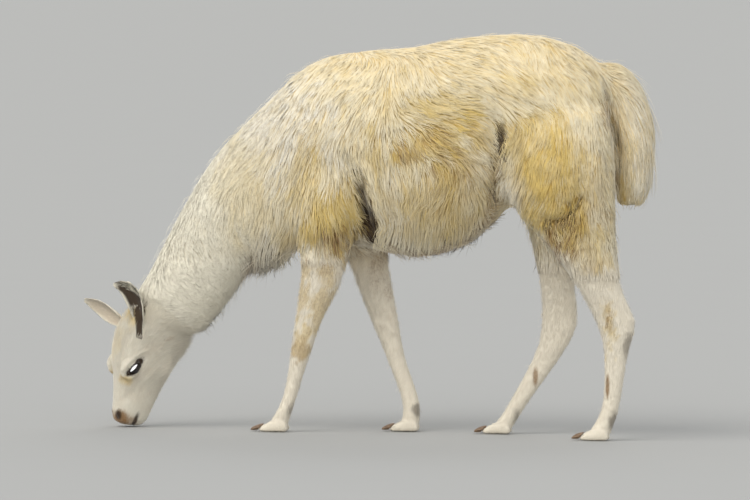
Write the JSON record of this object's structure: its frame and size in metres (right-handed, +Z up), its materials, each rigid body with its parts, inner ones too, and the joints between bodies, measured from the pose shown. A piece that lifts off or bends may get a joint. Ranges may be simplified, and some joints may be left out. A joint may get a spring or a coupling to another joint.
{
  "type": "llama",
  "caption": "Life-size still model of a white and cream llama grazing with its head at the ground, on a long curved neck, standing on slender legs.",
  "frame": {"origin": "on the floor, under the middle of the animal's bounding box", "axes": "+X points from head to tail, +Z is up, and the animal's left side faces -Y"},
  "size_m": [1.7222, 0.4442, 1.2036],
  "materials": {
    "fleece": "long woolly fleece, white to cream with ochre patches",
    "face_coat": "short white hair, tan and bare dark skin at the nose",
    "leg_coat": "short white hair, tan mottling on the joints",
    "ear_skin": "short hair outside, dark bare skin inside",
    "eye": "wet gloss",
    "nail": "worn horn"
  },
  "bodies": {
    "root": {"head": "face_coat", "neck": "fleece", "trunk": "fleece", "tail": "fleece", "ear_left": "ear_skin", "ear_right": "ear_skin", "eye_left": "eye", "eye_right": "eye", "foreleg_left": "leg_coat", "foreleg_right": "leg_coat", "hindleg_left": "leg_coat", "hindleg_right": "leg_coat", "nail_foreleg_left_inner": "nail", "nail_foreleg_left_outer": "nail", "nail_foreleg_right_inner": "nail", "nail_foreleg_right_outer": "nail", "nail_hindleg_left_inner": "nail", "nail_hindleg_left_outer": "nail", "nail_hindleg_right_inner": "nail", "nail_hindleg_right_outer": "nail"}
  },
  "joints": []
}
